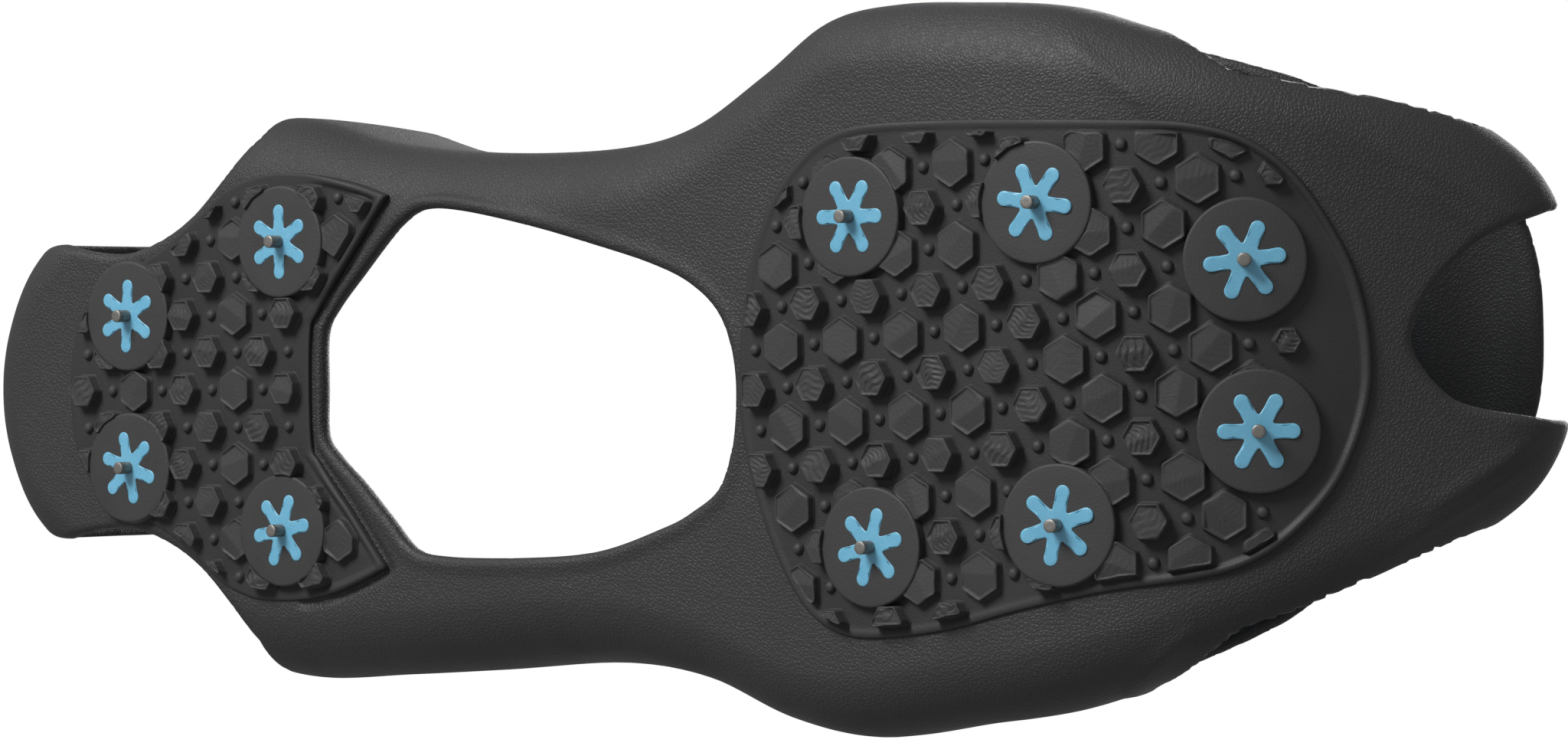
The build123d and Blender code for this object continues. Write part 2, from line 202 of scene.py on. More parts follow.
def place(u, v, turn):
    """The 4x4 matrix of a place on the studs' faces, with local z square to them, for meshes in mm."""
    origin = Vector(to_row([(u, v, 0.0)])[0])
    roll = min(max(u - ROLL_START, 0), ROLL_END - ROLL_START) / ROLL_R
    turned = Matrix.Rotation(-roll, 4, "Y") @ Matrix.Rotation(math.radians(turn), 4, "Z")
    return Matrix.Translation(origin) @ turned @ Matrix.Scale(MM, 4)


def mesh_object(name, vertices, faces, smooth=True):
    """A new mesh object in the scene, from points in metres."""
    mesh = bpy.data.meshes.new(name)
    mesh.from_pydata([tuple(p) for p in vertices], [], [tuple(int(i) for i in f) for f in faces])
    mesh.update()
    if smooth:
        mesh.shade_smooth()
    made = bpy.data.objects.new(name, mesh)
    bpy.context.scene.collection.objects.link(made)
    return made


# ---- curves and distance maps ----
def smooth_line(points, closed=True, steps=8):
    """Points along a Catmull-Rom curve through the given ones."""
    p = np.asarray(points, float)
    if closed:
        before, after, after2 = np.roll(p, 1, 0), np.roll(p, -1, 0), np.roll(p, -2, 0)
    else:
        ends = np.vstack([2 * p[0] - p[1], p, 2 * p[-1] - p[-2]])
        before, p, after, after2 = ends[:-3], ends[1:-2], ends[2:-1], ends[3:]
    t = (np.arange(steps) / steps)[None, :, None]
    a, b, c, d = (q[:, None, :] for q in (before, p, after, after2))
    curve = 0.5 * (2 * b + (c - a) * t + (2 * a - 5 * b + 4 * c - d) * t**2 + (3 * b - a - 3 * c + d) * t**3)
    curve = curve.reshape(-1, 2)
    return curve if closed else np.vstack([curve, after[-1]])


class DistanceMap:
    """Signed distance to a closed outline in a plane, negative inside, read by interpolation."""

    def __init__(self, outline, low, high, step=MAP_GRID):
        self.low, self.step = np.array(low, float), step
        counts = np.ceil((np.array(high) - self.low) / step).astype(int) + 1
        a = self.low[0] + step * np.arange(counts[0])[:, None]
        b = self.low[1] + step * np.arange(counts[1])[None, :]
        nearest = np.full(counts, 1e9)
        inside = np.zeros(counts, bool)
        for (a0, b0), (a1, b1) in zip(outline, np.roll(outline, -1, 0)):
            da, db = a1 - a0, b1 - b0
            t = np.clip(((a - a0) * da + (b - b0) * db) / max(da * da + db * db, 1e-12), 0, 1)
            nearest = np.minimum(nearest, (a - a0 - t * da) ** 2 + (b - b0 - t * db) ** 2)
            if b0 != b1:
                crosses = (b0 > b) != (b1 > b)
                inside ^= crosses & (a < a0 + (b - b0) * da / db)
        self.values = np.where(inside, -1, 1) * np.sqrt(nearest)

    def __call__(self, a, b):
        n, m = self.values.shape
        x = np.clip((a - self.low[0]) / self.step, 0, n - 1.001)
        y = np.clip((b - self.low[1]) / self.step, 0, m - 1.001)
        i, j = x.astype(int), y.astype(int)
        x, y = x - i, y - j
        g = self.values
        return ((g[i, j] * (1 - x) + g[i + 1, j] * x) * (1 - y)
                + (g[i, j + 1] * (1 - x) + g[i + 1, j + 1] * x) * y)


def round_max(a, b, r):
    """Where two solids meet, with the outer edge rounded to radius r."""
    a, b = a + r, b + r
    return np.minimum(np.maximum(a, b), 0) + np.hypot(np.maximum(a, 0), np.maximum(b, 0)) - r


def soft_min(a, b, r):
    """Two solids joined, with a fillet of about r."""
    w = np.clip(0.5 + 0.5 * (b - a) / r, 0, 1)
    return b + (a - b) * w - r * w * (1 - w)


def ramp(x, low, high):
    """0 up to low, 1 from high on, and smooth between them."""
    t = np.clip((x - low) / (high - low), 0, 1)
    return t * t * (3 - 2 * t)


def surface_net(values, low, step):
    """Vertices and quads of the zero surface of a 3-D array that is negative inside."""
    inside = values < 0
    cells = tuple(n - 1 for n in values.shape)
    corners = [(i, j, k) for i in (0, 1) for j in (0, 1) for k in (0, 1)]

    def corner(array, c):
        return array[c[0]:c[0] + cells[0], c[1]:c[1] + cells[1], c[2]:c[2] + cells[2]]

    count = sum(corner(inside, c).astype(np.int8) for c in corners)
    active = (count > 0) & (count < 8)
    where = np.argwhere(active)
    index = np.full(cells, -1, np.int64)
    index[active] = np.arange(len(where))
    total, hits = np.zeros((len(where), 3)), np.zeros(len(where))
    for c in corners:
        for axis in range(3):
            if c[axis]:
                continue
            d = tuple(c[a] + (a == axis) for a in range(3))
            f0, f1 = corner(values, c)[active], corner(values, d)[active]
            cut = (f0 < 0) != (f1 < 0)
            t = np.where(cut, f0 / np.where(cut, f0 - f1, 1), 0)
            point = np.tile(np.array(c, float), (len(where), 1))
            point[:, axis] += t
            total += point * cut[:, None]
            hits += cut
    vertices = np.array(low) + step * (where + total / hits[:, None])
    quads = []
    for axis in range(3):
        b, c = (axis + 1) % 3, (axis + 2) % 3
        first = [slice(1, -1)] * 3
        first[axis] = slice(0, values.shape[axis] - 1)
        second = list(first)
        second[axis] = slice(1, values.shape[axis])
        f0, f1 = inside[tuple(first)], inside[tuple(second)]
        spots = np.argwhere(f0 != f1)
        flip = f0[f0 != f1]
        offset = np.ones(3, int)
        offset[axis] = 0
        spots = spots + offset
        ring = []
        for db, dc in ((-1, -1), (0, -1), (0, 0), (-1, 0)):
            cell = spots.copy()
            cell[:, b] += db
            cell[:, c] += dc
            ring.append(index[cell[:, 0], cell[:, 1], cell[:, 2]])
        ring = np.stack(ring, axis=1)
        quads.append(np.where(flip[:, None], ring, ring[:, ::-1]))
    return vertices, np.vstack(quads)


# ---- the harness ----
def toe_ridges(u, v):
    """Low steps that run out along the toe arms, and slanting ones on the ball flaps."""
    relief = 0.0 * u
    for u0, v0, u1, v1, wide, high in RIDGES:
        du, dv = u1 - u0, v1 - v0
        length = math.hypot(du, dv)
        along = ((u - u0) * du + (v - v0) * dv) / length
        across = ((v - v0) * du - (u - u0) * dv) / length
        fade = ramp(along, 0, 0.3 * length) * (1 - ramp(along, 0.7 * length, length))
        relief = relief + high * fade * np.exp(-((across / wide) ** 2))
    return relief


def harness_field():
    """A function of sole coordinates that is negative inside the rubber."""
    plan_box = (-215, -75), (135, 75)
    side_box = (-215, -10), (135, 90)
    boot = DistanceMap(smooth_line(BOOT_OUTLINE), *plan_box)
    waist = DistanceMap(smooth_line(WAIST_OPENING), *plan_box)
    toe_line = np.vstack([smooth_line(TOE_OPENING, closed=False), [(160, 8), (160, -28)]])
    toe = DistanceMap(toe_line, *plan_box)
    corner_line = np.vstack([[(-230, 27)], smooth_line(HEEL_CORNER, closed=False), [(-133, 90), (-230, 90)]])
    corner = DistanceMap(corner_line, *plan_box)
    rim_line = np.vstack([[(-230, 66)], smooth_line(RIM_LINE, closed=False), [(101, 130), (-230, 130)]])
    rim = DistanceMap(rim_line, *side_box)
    window = DistanceMap(smooth_line(TOE_WINDOW), *side_box)
    heel_pad = DistanceMap(heel_pad_line(), *plan_box)

    def field(u, v, h):
        fore = ramp(u, -80, -20)
        back = ramp(-u, 150, 185)
        rise = np.maximum(h - LEAN_START, 0) / LEAN_SPAN
        lean = (HEEL_LEAN + (FORE_LEAN - HEEL_LEAN) * fore) * rise**1.6
        top = HEEL_TOP - TOE_FALL * ramp(u, 20, 112) - CROWN * (v - CROWN_MIDDLE) ** 2
        upper = h > 0.5 * (RUBBER_FACE + top)
        edge_r = np.where(upper, UPPER_ROUND, SIDE_ROUND - FORE_ROUND_CUT * fore - BACK_ROUND_CUT * back)
        vertical = np.where(upper, h - top, RUBBER_FACE - h)
        skin = round_max(boot(u, v) + lean, vertical, edge_r)
        relief = toe_ridges(u, v) * (h < RIDGE_TOP)
        shell = np.maximum(skin - relief, -(skin + RUBBER_T))
        tab = round_max(np.abs(v) - TAB_HALF, h - TAB_TOP, TAB_ROUND) + 60 * (u > TAB_FRONT)
        kept = np.minimum(-rim(u, h), tab)
        shell = round_max(shell, kept, CUT_ROUND)
        shell = round_max(shell, -waist(u, v) - 99 * (h > WAIST_CUT_TOP), CUT_ROUND)
        shell = round_max(shell, -np.maximum(toe(u, v), h - TOE_CUT_TOP), CUT_ROUND)
        shell = round_max(shell, -np.maximum(corner(u, np.abs(v)), h - HEEL_WINDOW_TOP), CUT_ROUND)
        outside = (v < MEDIAL_WINDOW_V) | (v > LATERAL_WINDOW_V)
        shell = round_max(shell, -np.where(outside, window(u, h), 50.0), CUT_ROUND)
        bead = np.hypot(waist(u, v) - BEAD_IN, h - RUBBER_FACE - BEAD_UP) - BEAD_R
        shell = soft_min(shell, bead, 0.5)
        groove = np.hypot(heel_pad(u, v) - GROOVE_OUT, h - RUBBER_FACE + GROOVE_DROP) - GROOVE_R
        shell = round_max(shell, -np.maximum(groove, GROOVE_START - u), 0.25)
        for stud_u, stud_v, _ in HEEL_STUDS + FORE_STUDS:
            well = np.maximum(np.hypot(u - stud_u, v - stud_v) - FLANGE_R - FLANGE_GAP, PAD_BACK - h)
            shell = np.maximum(shell, -np.maximum(well, h - WELL_TOP))
        return shell

    return field


def heel_pad_line():
    """The heel pad's outline, with a sharp corner at each end of its front edge."""
    edge = smooth_line(HEEL_PAD_EDGE, closed=False)
    return np.vstack([edge, smooth_line(HEEL_PAD_FRONT, closed=False)])


def make_harness():
    """The whole harness as one surface, meshed on a grid and then drawn onto the field's zero."""
    field = harness_field()
    low, high = np.array((-207.0, -67.0, -1.0)), np.array((126.0, 63.0, 77.0))
    counts = ((high - low) / GRID).astype(int) + 1
    values = np.empty(counts, np.float32)
    across, up = np.meshgrid(*(low[a] + GRID * np.arange(counts[a]) for a in (1, 2)), indexing="ij")
    for i in range(counts[0]):
        values[i] = field(np.full(across.shape, low[0] + GRID * i), across, up)
    points, quads = surface_net(values, low, GRID)
    nudge = 0.15
    for _ in range(3):
        here = field(*points.T)
        slope = np.stack([
            (field(*(points + nudge * axis).T) - field(*(points - nudge * axis).T)) / (2 * nudge)
            for axis in np.eye(3)
        ], axis=1)
        steep = np.maximum((slope**2).sum(1), 0.25)
        points = points - slope * np.clip(here / steep, -0.5, 0.5)[:, None]
    harness = mesh_object("harness", to_row(points), quads)
    rubber = [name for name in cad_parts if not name.endswith("_pad")]
    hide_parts(*[name for name in rubber if "_star_" not in name and "_pin_" not in name])
    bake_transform(harness)
    return harness


# ---- closed pieces made of rings ----
class Rings:
    """Closed pieces in sole coordinates, each made of rings from the foot's side out to the ground's."""

    def __init__(self):
        self.points, self.faces, self.slots, self.count = [], [], [], 0

    def add(self, rings, slot=0):
        """Joins rings of equal length, counter-clockwise seen from the foot, and closes both ends."""
        rings = [np.asarray(ring, float) for ring in rings]
        n, start = len(rings[0]), self.count
        ends = [rings[0].mean(0, keepdims=True), rings[-1].mean(0, keepdims=True)]
        self.points += rings + ends
        first, last = start + n * len(rings), start + n * len(rings) + 1
        for i in range(n):
            j = (i + 1) % n
            self.faces.append((first, start + i, start + j))
            for k in range(len(rings) - 1):
                a, b = start + k * n, start + (k + 1) * n
                self.faces.append((a + i, b + i, b + j, a + j))
            a = start + (len(rings) - 1) * n
            self.faces.append((last, a + j, a + i))
        self.count += n * len(rings) + 2
        self.slots += [slot] * (len(self.faces) - len(self.slots))

    def make(self, name):
        made = mesh_object(name, to_row(np.vstack(self.points)), self.faces)
        made.data.polygons.foreach_set("material_index", self.slots)
        return made


def counter_clockwise(line):
    """The closed line, turned round if it runs clockwise."""
    u, v = line.T
    area = (u * np.roll(v, -1) - v * np.roll(u, -1)).sum()
    return line if area > 0 else line[::-1]


def inset(line, amount):
    """The line moved inwards along its normals."""
    along = np.roll(line, -1, 0) - np.roll(line, 1, 0)
    normal = np.stack([-along[:, 1], along[:, 0]], axis=1)
    normal /= np.maximum(np.hypot(*normal.T), 1e-9)[:, None]
    return line + normal * amount


def at_height(line, h):
    return np.column_stack([line, np.broadcast_to(h, len(line))])


def circle(u, v, radius, sides=48):
    turn = 2 * math.pi * np.arange(sides) / sides
    return np.stack([u + radius * np.cos(turn), v + radius * np.sin(turn)], axis=1)


def disc_rings(u, v, profile, sides=48):
    """Round rings about a middle, from (radius, h) pairs."""
    return [at_height(circle(u, v, radius, sides), h) for radius, h in profile]


# ---- tread pads ----
def lug_places(start, skew, rows, columns):
    """Lugs and dots of a staggered field: (u, v, column, whether its row is shifted, whether a dot)."""
    turn = math.radians(skew)
    places = []
    for row in range(-2 * rows, 2 * rows + 1):
        for half_column in range(-2 * columns, 2 * columns + 1):
            along, across = 0.5 * half_column * LUG_PITCH, 0.5 * row * LUG_ROW
            u = start[0] + along * math.cos(turn) - across * math.sin(turn)
            v = start[1] + along * math.sin(turn) + across * math.cos(turn)
            shifted = row % 2
            places.append((u, v, half_column // 2, bool(shifted), (half_column + shifted) % 2 == 1))
    return places


def hexagon_reach(a, b, radius, turned):
    """Distance from a hexagon's middle to its edge, its corners a little rounded."""
    turn = np.arctan2(b, a) + (0 if turned else math.pi / 6)
    sector = (turn + math.pi / 6) % (math.pi / 3) - math.pi / 6
    flat = radius * math.cos(math.pi / 6) / np.cos(sector)
    return np.minimum(flat, 0.975 * radius)


def lug_outline(u, v, radius, turned, room, sides=48):
    """The part of a hexagon where room is negative, as a ring, or None if little is left."""
    span = np.linspace(-radius, radius, 25)
    a, b = (grid.ravel() for grid in np.meshgrid(span, span))
    held = np.hypot(a, b) < hexagon_reach(a, b, radius, turned)
    held &= room(u + a, v + b) < 0
    if held.sum() * (span[1] - span[0]) ** 2 < LUG_LEAST_AREA:
        return None
    mid = np.array((a[held].mean(), b[held].mean()))
    if room(u + mid[:1], v + mid[1:])[0] > -LUG_LEAST_ROOM:
        return None
    turn = 2 * math.pi * np.arange(sides) / sides
    reach = np.linspace(0, 2 * radius, 90)
    a = mid[0] + reach[None, :] * np.cos(turn)[:, None]
    b = mid[1] + reach[None, :] * np.sin(turn)[:, None]
    out = np.hypot(a, b) > hexagon_reach(a, b, radius, turned)
    out |= room(u + a, v + b) > 0
    stop = reach[np.argmax(out, axis=1)]
    return np.stack([u + mid[0] + stop * np.cos(turn), v + mid[1] + stop * np.sin(turn)], axis=1)


def add_lug(rings, outline, height, ribs, draw):
    """A lug with steep walls and a hewn, slightly tilted top. ribs says how deep its top is ribbed."""
    middle = outline.mean(0)
    reach = np.hypot(*(outline - middle).T)
    face = PAD_FACE - height
    turn = draw.uniform(0, 2 * math.pi)
    across = np.array((math.cos(turn), math.sin(turn)))
    pitch, bend = RIB_PITCH * draw.uniform(0.7, 1.3), draw.uniform(0.08, 0.3)
    slope, fold = draw.uniform(-0.07, 0.07, 2), draw.uniform(0.04, 0.13)

    def ring(shrink, h, top=0.0, within=1.0):
        scale = within * np.maximum(1 - shrink / np.maximum(reach, 0.6), 0.15)
        local = (outline - middle) * scale[:, None]
        s, t = local @ across, local @ np.array((-across[1], across[0]))
        rib = ((s + bend * t**2) / pitch + 0.25 * np.sin(1.7 * t)) % 1.0
        rise = ribs * ramp(rib, 0.0, 0.8) * (1 - ramp(rib, 0.88, 1.0)) * ramp(np.hypot(s, t), 0.3, 1.0)
        return at_height(middle + local, h + top * (rise + local @ slope + fold * np.abs(t - 0.4)))

    stack = [
        ring(-0.1, PAD_FACE + 0.8), ring(-0.3, PAD_FACE + 0.02), ring(-0.12, PAD_FACE - 0.12),
        ring(0.0, PAD_FACE - 0.35), ring(0.14, face + 0.3), ring(0.2, face + 0.12), ring(0.34, face + 0.02),
        ring(0.5, face, 0.7),
    ]
    stack += [ring(0.5, face, 1.0, within) for within in np.arange(0.93, 0.1, -0.09)]
    rings.add(stack, LUG_SLOT)


def even_rays(line, middle, gap=0.8):
    """Directions from the middle to points spaced evenly along an outline, counter-clockwise."""
    line = counter_clockwise(line)
    closed = np.vstack([line, line[:1]])
    far = np.concatenate([[0], np.cumsum(np.hypot(*np.diff(closed, axis=0).T))])
    at = np.linspace(0, far[-1], int(far[-1] / gap), endpoint=False)
    points = np.stack([np.interp(at, far, closed[:, axis]) for axis in (0, 1)], axis=1) - middle
    turn = np.unwrap(np.arctan2(points[:, 1], points[:, 0]))
    return np.sort(turn % (2 * math.pi))


def offset_ring(inside, middle, rays, amount, reach=75.0):
    """The outline moved in by an amount, as a ring with one point on each ray."""
    out = np.linspace(0, reach, 1500)
    value = inside(middle[0] + out * np.cos(rays)[:, None], middle[1] + out * np.sin(rays)[:, None]) + amount
    stop = np.argmax(value > 0, axis=1)
    row = np.arange(len(rays))
    low, high = value[row, stop - 1], value[row, stop]
    far = out[stop - 1] + (out[1] - out[0]) * low / (low - high)
    return np.stack([middle[0] + far * np.cos(rays), middle[1] + far * np.sin(rays)], axis=1)


def add_plate(rings, line, inside, middle, ridge):
    """The pad's plate. ridge gives, at a point of the outline, how strong its raised edge is."""
    rays = even_rays(line, middle)
    strength = ridge(offset_ring(inside, middle, rays, 0.0)[:, 0])
    stack = []
    for scale in np.arange(0.08, 0.99, 0.1):
        stack.append(at_height(middle + (offset_ring(inside, middle, rays, 0.0) - middle) * scale, PAD_BACK))
    for amount, h, high in PLATE_EDGE:
        stack.append(at_height(offset_ring(inside, middle, rays, amount), h + high * strength))
    within = offset_ring(inside, middle, rays, PLATE_EDGE[-1][0])
    for scale in np.arange(0.96, 0.05, -0.06):
        stack.append(at_height(middle + (within - middle) * scale, PAD_FACE))
    rings.add(stack)


def make_pad(name, nodes, body, line, middle, ridge, studs, places, kind, draw):
    """A tread pad: its plate, lugs, dots and stud discs, each a closed piece of one mesh."""
    rings = Rings()
    inside = DistanceMap(line, line.min(0) - 6, line.max(0) + 6, PAD_MAP_GRID)

    def room(u, v):
        clear = [STUD_R - 0.3 - np.hypot(u - stud[0], v - stud[1]) for stud in studs]
        return np.maximum(inside(u, v) + LUG_MARGIN, np.max(clear, axis=0))

    add_plate(rings, line, inside, np.array(middle, float), ridge)
    for u, v, column, shifted, dot in places:
        near_stud = min(math.hypot(u - stud[0], v - stud[1]) for stud in studs)
        depth = -float(inside(np.array(u), np.array(v)))
        if depth < -2.5 or u > LUGS_END:
            continue
        if dot:
            if near_stud > STUD_R + DOT_CLEAR and depth > DOT_MARGIN:
                profile = [(DOT_R, PAD_FACE + 0.5), (DOT_R + 0.25, PAD_FACE), (DOT_R, PAD_FACE - 0.25),
                           (DOT_R - 0.1, PAD_FACE - 0.55), (DOT_R - 0.35, PAD_FACE - 0.75)]
                rings.add(disc_rings(u, v, profile, sides=14), LUG_SLOT)
            continue
        radius, height, ribs = kind(column, shifted, u)
        outline = lug_outline(u, v, radius, radius > WIDE_R, room)
        if outline is not None:
            add_lug(rings, outline, height * draw.uniform(0.93, 1.0), ribs * draw.uniform(0.2, 1.0), draw)
    for u, v, _ in studs:
        rings.add(disc_rings(u, v, STUD_PROFILE), LUG_SLOT)
    pad = rings.make(name)
    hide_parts(*nodes)
    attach(pad, body)
    return pad


def heel_lug(column, shifted, _):
    """Every second lug of the rows that aren't shifted is wide."""
    return HEEL_WIDE_LUG if column % 2 and not shifted else HEEL_SMALL_LUG


def fore_lug(column, shifted, u):
    """Most shifted rows' lugs are wide, and two columns of the others. They get lower at the toe."""
    wide = column != 2 if shifted else column in (3, 5)
    radius, height, ribs = FORE_WIDE_LUG if wide else FORE_SMALL_LUG
    low = 1 - 0.35 * float(ramp(np.array(u), 50, 80))
    size = 0.7 if u > LUGS_SHRINK else 1.0
    return radius * size, height * low, ribs


def make_pads():
    """Both tread pads, their random draws taken in this order."""
    draw = np.random.default_rng(7)
    heel_line = heel_pad_line()
    heel_line = heel_line[np.hypot(*(heel_line - np.roll(heel_line, 1, 0)).T) > 0.05]
    heel = make_pad(
        "heel_tread", ["heel_pad"], "heel", heel_line, (-146, 0), lambda u: ramp(u, -122, -112), HEEL_STUDS,
        lug_places(HEEL_LUG_START, 0, 3, 6), heel_lug, draw)
    fore = make_pad(
        "forefoot_tread", ["forefoot_pad", "ball_pad", "toe_pad"], "forefoot", smooth_line(FORE_PAD_EDGE),
        (32, -1), lambda u: 0.25 + 0.75 * ramp(u, 45, 70), FORE_STUDS,
        lug_places(FORE_LUG_START, FORE_LUG_SKEW, 4, 8), fore_lug, draw)
    return heel, fore


# ---- inserts and pins ----
def star_line():
    """The star's outline: six round-ended arms round a hub."""
    half = STAR_ARM_W / 2
    tip = STAR_TIP_R - half
    root = math.sqrt(STAR_HUB_R**2 - half**2)
    points = []
    for arm in range(6):
        turn = arm * math.pi / 3
        local = [(root, -half), (0.5 * (root + tip), -half * 0.94), (tip, -half)]
        for step in range(1, 8):
            bend = -math.pi / 2 + math.pi * step / 8
            local.append((tip + half * math.cos(bend), half * math.sin(bend)))
        local += [(tip, half), (0.5 * (root + tip), half * 0.94), (root, half)]
        points += [(a * math.cos(turn) - b * math.sin(turn), a * math.sin(turn) + b * math.cos(turn))
                   for a, b in local]
        gap = turn + math.pi / 6
        points.append((STAR_HUB_R * math.cos(gap), STAR_HUB_R * math.sin(gap)))
    return np.array(points)


def local_mesh(name, stacks, matrix):
    """Ring stacks in a stud's own millimetres, placed by a matrix that is written into the mesh."""
    rings = Rings()
    for stack in stacks:
        rings.add(stack)
    placed = [matrix @ Vector(point) for point in np.vstack(rings.points)]
    return mesh_object(name, placed, rings.faces)


def make_insert(name, body, matrix):
    """A star whose face stands just out of the disc's, and its flange on the foot's side."""
    line = star_line()
    star = [at_height(line * 0.4, PAD_BACK + 0.5), at_height(line, PAD_BACK + 0.5), at_height(line, -0.02)]
    star += [at_height(inset(line, 0.06), -0.09), at_height(inset(line, 0.16), -0.12)]
    star += [at_height(line * scale, -0.12) for scale in (0.85, 0.65, 0.45, 0.3)]
    flange = [(3.2, INNER_FACE), (8.0, INNER_FACE), (FLANGE_R - 0.15, INNER_FACE - 0.1),
              (FLANGE_R, INNER_FACE - 0.35), (FLANGE_R, PAD_BACK + 0.02), (4.0, PAD_BACK + 0.02)]
    insert = local_mesh(name + "_insert", [star, disc_rings(0, 0, flange)], matrix)
    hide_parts(name.replace("stud", "star"))
    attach(insert, body)
    return insert


def make_pin(name, body, matrix):
    """A pin from its head in the flange out to its flat end."""
    profile = [(1.2, INNER_FACE + 0.05), (2.1, INNER_FACE + 0.02), (PIN_HEAD_R - 0.1, INNER_FACE - 0.12),
               (PIN_HEAD_R, INNER_FACE - 0.35), (PIN_HEAD_R, INNER_FACE - PIN_HEAD_T),
               (PIN_R, INNER_FACE - PIN_HEAD_T), (PIN_R, 0.4), (PIN_R, -1.2), (PIN_R, 0.14 - PIN_OUT),
               (PIN_R - 0.05, 0.05 - PIN_OUT), (PIN_R - 0.16, -PIN_OUT), (0.5, -PIN_OUT)]
    pin = local_mesh(name + "_steel_pin", [disc_rings(0, 0, profile, sides=40)], matrix)
    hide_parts(name.replace("stud", "pin"))
    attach(pin, body)
    return pin


# ---- materials ----
class Shader:
    """A Principled material whose nodes are added by short calls."""

    def __init__(self, name, roughness, specular=0.5, metallic=0.0):
        self.material = bpy.data.materials.new(name)
        self.material.use_nodes = True
        self.nodes, self.links = self.material.node_tree.nodes, self.material.node_tree.links
        self.surface = self.nodes["Principled BSDF"]
        self.set(self.surface, {"Roughness": roughness, "Specular IOR Level": specular, "Metallic": metallic})
        self.place = self.nodes.new("ShaderNodeTexCoord").outputs["Object"]

    @staticmethod
    def set(node, values):
        for key, value in values.items():
            node.inputs[key].default_value = value

    def add(self, kind, values=None, **settings):
        node = self.nodes.new(kind)
        for key, value in settings.items():
            setattr(node, key, value)
        self.set(node, values or {})
        return node

    def noise(self, scale, detail=3.0, roughness=0.55):
        node = self.add("ShaderNodeTexNoise", {"Scale": scale, "Detail": detail, "Roughness": roughness})
        self.links.new(self.place, node.inputs["Vector"])
        return node.outputs["Fac"]

    def cells(self, scale, feature):
        node = self.add("ShaderNodeTexVoronoi", {"Scale": scale}, feature=feature)
        self.links.new(self.place, node.inputs["Vector"])
        return node.outputs["Distance"]

    def remap(self, value, low, high, to_low, to_high):
        node = self.add("ShaderNodeMapRange", {"From Min": low, "From Max": high, "To Min": to_low,
                                               "To Max": to_high}, interpolation_type="SMOOTHSTEP")
        self.links.new(value, node.inputs["Value"])
        return node.outputs["Result"]

    def colours(self, value, low, high):
        node = self.add("ShaderNodeMix", data_type="RGBA")
        node.inputs[6].default_value = (*low, 1)
        node.inputs[7].default_value = (*high, 1)
        self.links.new(value, node.inputs[0])
        return node.outputs[2]

    def math(self, operation, a, b):
        node = self.add("ShaderNodeMath", operation=operation)
        for socket, value in zip(node.inputs, (a, b)):
            if isinstance(value, (int, float)):
                socket.default_value = value
            else:
                self.links.new(value, socket)
        return node.outputs[0]

    def bump(self, height, distance, strength=1.0):
        node = self.add("ShaderNodeBump", {"Distance": distance, "Strength": strength})
        self.links.new(height, node.inputs["Height"])
        self.links.new(node.outputs["Normal"], self.surface.inputs["Normal"])

    def link(self, value, socket):
        self.links.new(value, self.surface.inputs[socket])


def harness_material():
    """Dark moulded rubber with a pebbled leather grain."""
    rubber = Shader("harness_rubber", 0.6, 0.38)
    pebbles = rubber.remap(rubber.cells(1500, "DISTANCE_TO_EDGE"), 0.0, 0.28, 0.0, 1.0)
    fine = rubber.noise(3800)
    broad = rubber.noise(38)
    height = rubber.math("ADD", pebbles, rubber.math("MULTIPLY", fine, 0.35))
    rubber.bump(height, 0.00006)
    tone = rubber.math("ADD", rubber.math("MULTIPLY", broad, 0.75), rubber.math("MULTIPLY", pebbles, 0.25))
    rubber.link(rubber.colours(tone, (0.0155, 0.0155, 0.016), (0.027, 0.027, 0.028)), "Base Color")
    rubber.link(rubber.remap(broad, 0.3, 0.7, 0.66, 0.54), "Roughness")
    return rubber.material


def pad_material(name, low, high):
    """Smooth matte rubber with faint dust and mould marks, from a low to a high grey."""
    rubber = Shader(name, 0.62, 0.42)
    fine = rubber.noise(2600, 4.0)
    dust = rubber.noise(75, 4.0, 0.6)
    rubber.bump(rubber.math("ADD", fine, rubber.math("MULTIPLY", dust, 2.0)), 0.00005)
    rubber.link(rubber.colours(dust, (low, low, 1.03 * low), (high, high, 1.03 * high)), "Base Color")
    rubber.link(rubber.remap(dust, 0.3, 0.7, 0.58, 0.72), "Roughness")
    return rubber.material


def insert_material():
    """Translucent cyan plastic."""
    plastic = Shader("insert_plastic", 0.38, 0.5)
    cloud = plastic.noise(260)
    plastic.link(plastic.colours(cloud, (0.09, 0.30, 0.44), (0.15, 0.38, 0.53)), "Base Color")
    plastic.set(plastic.surface, {"Subsurface Weight": 0.35, "Subsurface Scale": 0.002,
                                  "Subsurface Radius": (0.5, 0.9, 1.0)})
    plastic.bump(plastic.noise(1800), 0.00003)
    return plastic.material


def pin_material():
    """Dull steel, brown in places and scratched."""
    steel = Shader("pin_steel", 0.45, 0.5, 0.9)
    stain = steel.noise(900, 4.0)
    steel.link(steel.colours(stain, (0.12, 0.11, 0.10), (0.33, 0.32, 0.30)), "Base Color")
    steel.link(steel.remap(stain, 0.3, 0.7, 0.6, 0.36), "Roughness")
    steel.bump(steel.noise(5200), 0.00003)
    return steel.material


# ---- camera ----
CAMERA_PLACE = Vector((0.5959, 0.0024, -0.7395))
CAMERA_RIGHT = Vector((0.79845, 0.01214, 0.60261))
CAMERA_UP = Vector((0.01098, -0.99992, 0.00559))
CAMERA_BACK = Vector((0.60263, 0.00215, -0.79852))


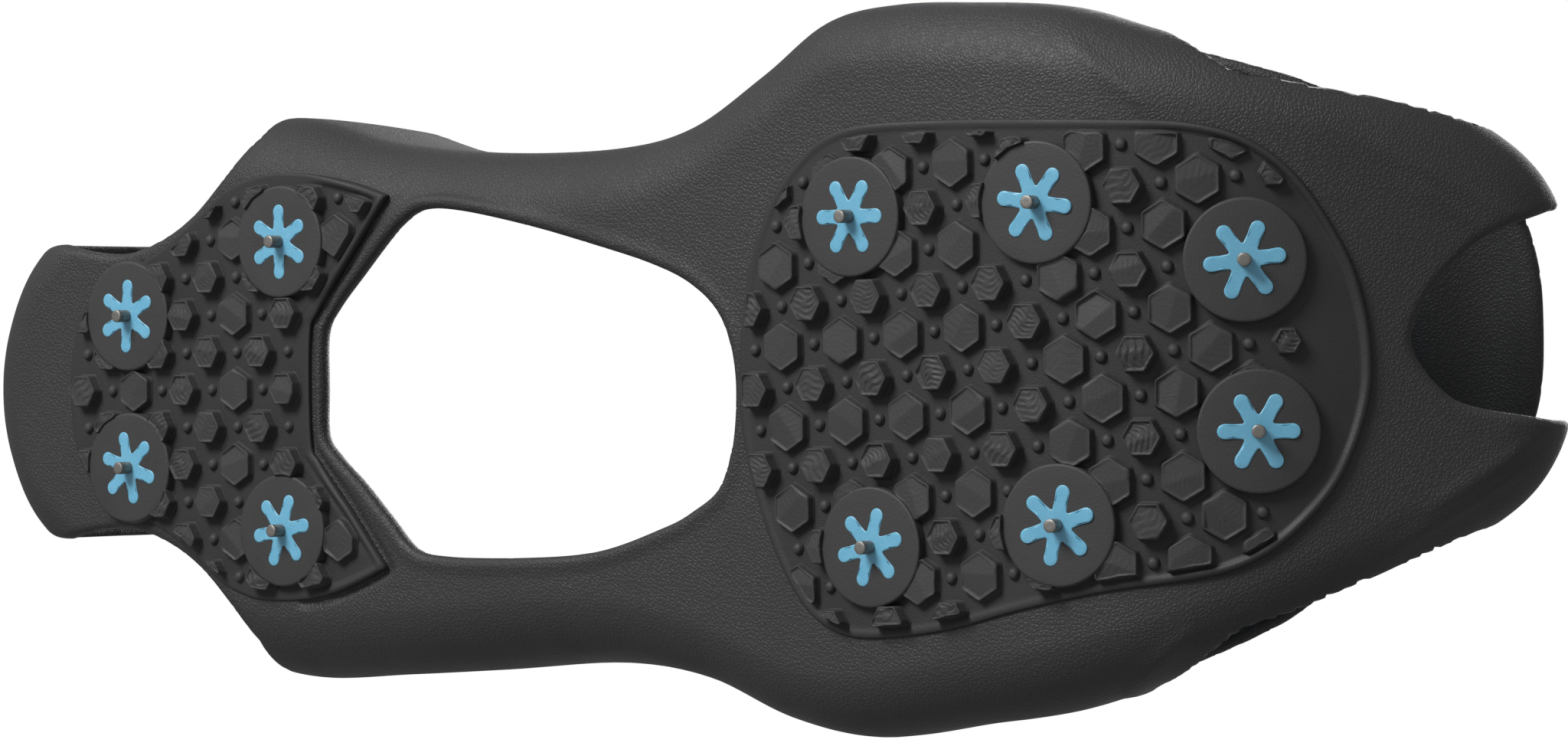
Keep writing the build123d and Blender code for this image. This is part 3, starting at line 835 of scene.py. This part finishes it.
def make_camera():
    """Below and in front of the toe, looking up at the tread."""
    data = bpy.data.cameras.new("camera")
    data.sensor_width = 36.0
    data.lens = 129.55
    data.clip_end = 20.0
    camera = bpy.data.objects.new("camera", data)
    bpy.context.scene.collection.objects.link(camera)
    turned = Matrix((CAMERA_RIGHT, CAMERA_UP, CAMERA_BACK)).transposed().to_4x4()
    camera.matrix_world = Matrix.Translation(CAMERA_PLACE) @ turned
    bpy.context.scene.camera = camera


# ---- stage and lights ----
def make_stage():
    """A pale floor that shows only from above, so the tread can be looked at through it from below."""
    half = 1.5
    corners = [(-half, -half, 0), (half, -half, 0), (half, half, 0), (-half, half, 0)]
    floor = mesh_object("floor", corners, [(0, 1, 2, 3)], smooth=False)
    pale = Shader("floor_paper", 0.9, 0.2)
    pale.link(pale.colours(pale.noise(4), (0.80, 0.80, 0.80), (0.84, 0.84, 0.84)), "Base Color")
    clear = pale.add("ShaderNodeBsdfTransparent")
    mix = pale.add("ShaderNodeMixShader")
    upper = pale.math("SUBTRACT", 1.0, pale.add("ShaderNodeNewGeometry").outputs["Backfacing"])
    seen = pale.math("MULTIPLY", upper, pale.add("ShaderNodeLightPath").outputs["Is Camera Ray"])
    pale.links.new(seen, mix.inputs[0])
    pale.links.new(clear.outputs[0], mix.inputs[1])
    pale.links.new(pale.surface.outputs[0], mix.inputs[2])
    pale.links.new(mix.outputs[0], pale.nodes["Material Output"].inputs["Surface"])
    floor.data.materials.append(pale.material)


def area_light(name, place, aim, size, power):
    """A round light at a place, turned to face another."""
    data = bpy.data.lights.new(name, "AREA")
    data.shape = "DISK"
    data.size = size
    data.energy = power
    light = bpy.data.objects.new(name, data)
    facing = (Vector(place) - Vector(aim)).to_track_quat("Z", "Y")
    light.matrix_world = Matrix.Translation(place) @ facing.to_matrix().to_4x4()
    bpy.context.scene.collection.objects.link(light)


def make_lights():
    """A white studio: even light all round, a key from the upper left of the camera and a top light."""
    world = bpy.data.worlds.new("studio")
    world.use_nodes = True
    nodes, links = world.node_tree.nodes, world.node_tree.links
    around = nodes["Background"]
    around.inputs["Color"].default_value = (1, 1, 1, 1)
    around.inputs["Strength"].default_value = 0.38
    seen = nodes.new("ShaderNodeBackground")
    seen.inputs["Color"].default_value = (1, 1, 1, 1)
    mix = nodes.new("ShaderNodeMixShader")
    links.new(nodes.new("ShaderNodeLightPath").outputs["Is Camera Ray"], mix.inputs[0])
    links.new(around.outputs[0], mix.inputs[1])
    links.new(seen.outputs[0], mix.inputs[2])
    links.new(mix.outputs[0], nodes["World Output"].inputs["Surface"])
    bpy.context.scene.world = world
    centre = Vector((0, 0, 0.03))
    key = centre - 0.75 * CAMERA_RIGHT + 0.85 * CAMERA_UP + 0.55 * CAMERA_BACK
    area_light("key", key, centre, 0.6, 22.0)
    area_light("top", centre + Vector((-0.3, -0.3, 1.2)), centre, 0.9, 16.0)


# ---- assembly ----
make_camera()
make_lights()
make_stage()
make_harness().data.materials.append(harness_material())
# The plate gets darker greys than the lugs, dots and stud discs: painted shade in the hollows between the
# raised parts.
pad_rubbers = pad_material("plate_rubber", 0.010, 0.018), pad_material("lug_rubber", 0.018, 0.030)
for pad in make_pads():
    for rubber in pad_rubbers:
        pad.data.materials.append(rubber)
plastic, steel = insert_material(), pin_material()
for body, studs in (("heel", HEEL_STUDS), ("forefoot", FORE_STUDS)):
    for number, (u, v, turn) in enumerate(studs, start=1):
        matrix = place(u, v, turn)
        make_insert(f"{body}_stud_{number}", body, matrix).data.materials.append(plastic)
        make_pin(f"{body}_stud_{number}", body, matrix).data.materials.append(steel)

bpy.context.scene.view_settings.view_transform = "Standard"
